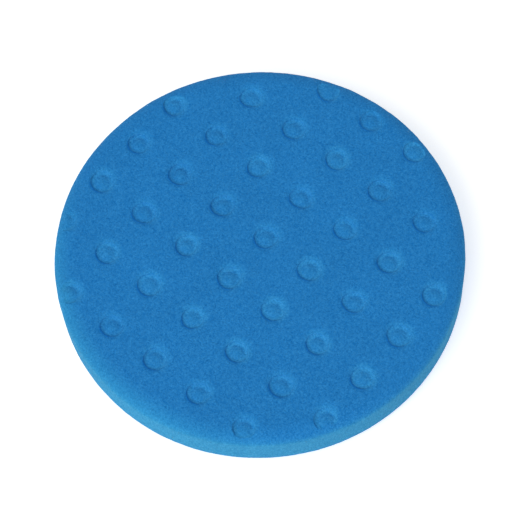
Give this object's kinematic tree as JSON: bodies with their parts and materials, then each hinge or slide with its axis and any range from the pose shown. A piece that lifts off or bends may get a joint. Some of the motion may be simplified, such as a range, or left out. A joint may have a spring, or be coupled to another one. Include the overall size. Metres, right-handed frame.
{
  "type": "polishing pad",
  "caption": "Round foam polishing pad with a rounded working face pressed with ring-shaped pockets, a bevelled back edge and a loop-cloth backing that grips a hook plate.",
  "frame": {"origin": "centre of the loop cloth's outer face, which the pad lies on and is held by", "axes": "+Z along the pad's spin axis, from the loop cloth towards the working face; +X and +Y along the rows of the pocket grid"},
  "size_m": [0.1651, 0.1651, 0.0238],
  "materials": {
    "loop_cloth": "black short-pile loop cloth",
    "adhesive": "dull hot-melt film",
    "blue_foam": "matt open-cell polyurethane foam"
  },
  "bodies": {
    "backing": {"loop_backing": "loop_cloth", "adhesive_film": "adhesive"},
    "foam": {"foam_pad": "blue_foam"}
  },
  "joints": [
    {"name": "foam_compression", "type": "slide", "parent": "backing", "child": "foam", "axis": [0, 0, -1], "range_m": [0, 0.01], "stiffness_N_per_m": 1500, "deforming": ["foam_pad"]}
  ]
}
